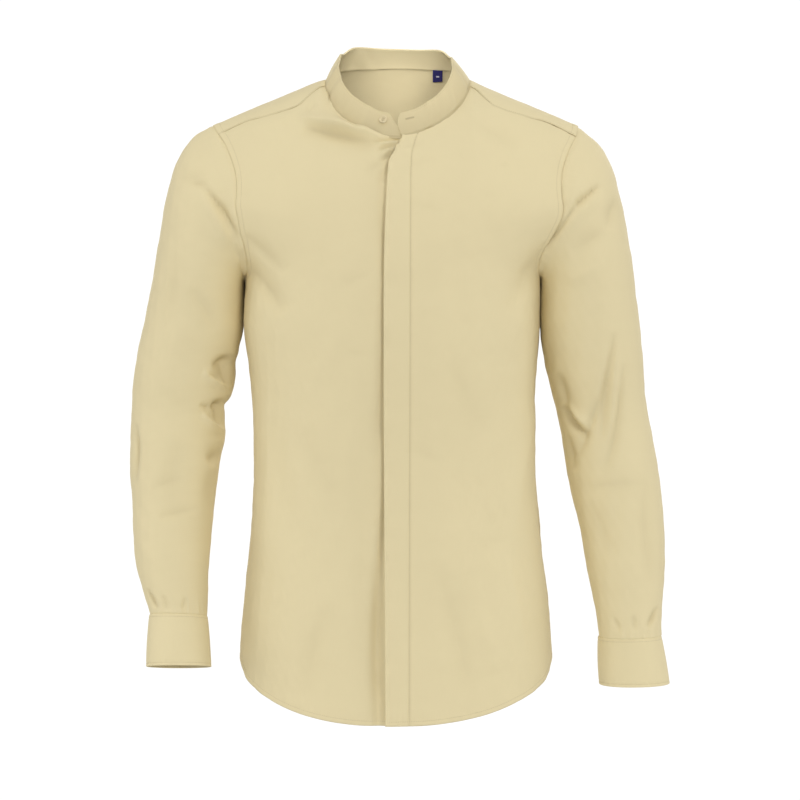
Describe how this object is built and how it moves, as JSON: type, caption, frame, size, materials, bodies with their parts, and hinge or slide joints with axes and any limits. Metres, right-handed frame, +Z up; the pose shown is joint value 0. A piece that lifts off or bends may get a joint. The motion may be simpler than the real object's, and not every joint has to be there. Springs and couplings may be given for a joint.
{
  "type": "mandarin collar shirt",
  "caption": "Long-sleeved cotton shirt with a band collar, hidden button front, shoulder yoke, shirt-tail hem and buttoned cuffs, filled out as worn and hollow inside.",
  "frame": {"origin": "middle of the neck opening, level with the point where the shoulder line meets the collar", "axes": "+X to the wearer's left, -Y to the wearer's front, +Z up out of the neck"},
  "size_m": [0.6451, 0.256, 0.8259],
  "materials": {
    "cloth": "matt plain-woven cotton",
    "button": "soft sheen, matched to the cloth",
    "label": "woven tape"
  },
  "bodies": {
    "root": {"front_left": "cloth", "front_right": "cloth", "fly_band": "cloth", "back": "cloth", "yoke": "cloth", "collar_band": "cloth", "sleeve_left": "cloth", "sleeve_right": "cloth", "sleeve_placket_left": "cloth", "sleeve_placket_right": "cloth", "cuff_left": "cloth", "cuff_right": "cloth", "collar_button": "button", "fly_button_1": "button", "fly_button_2": "button", "fly_button_3": "button", "fly_button_4": "button", "fly_button_5": "button", "fly_button_6": "button", "cuff_button_left": "button", "cuff_button_right": "button", "size_label": "label"}
  },
  "joints": []
}
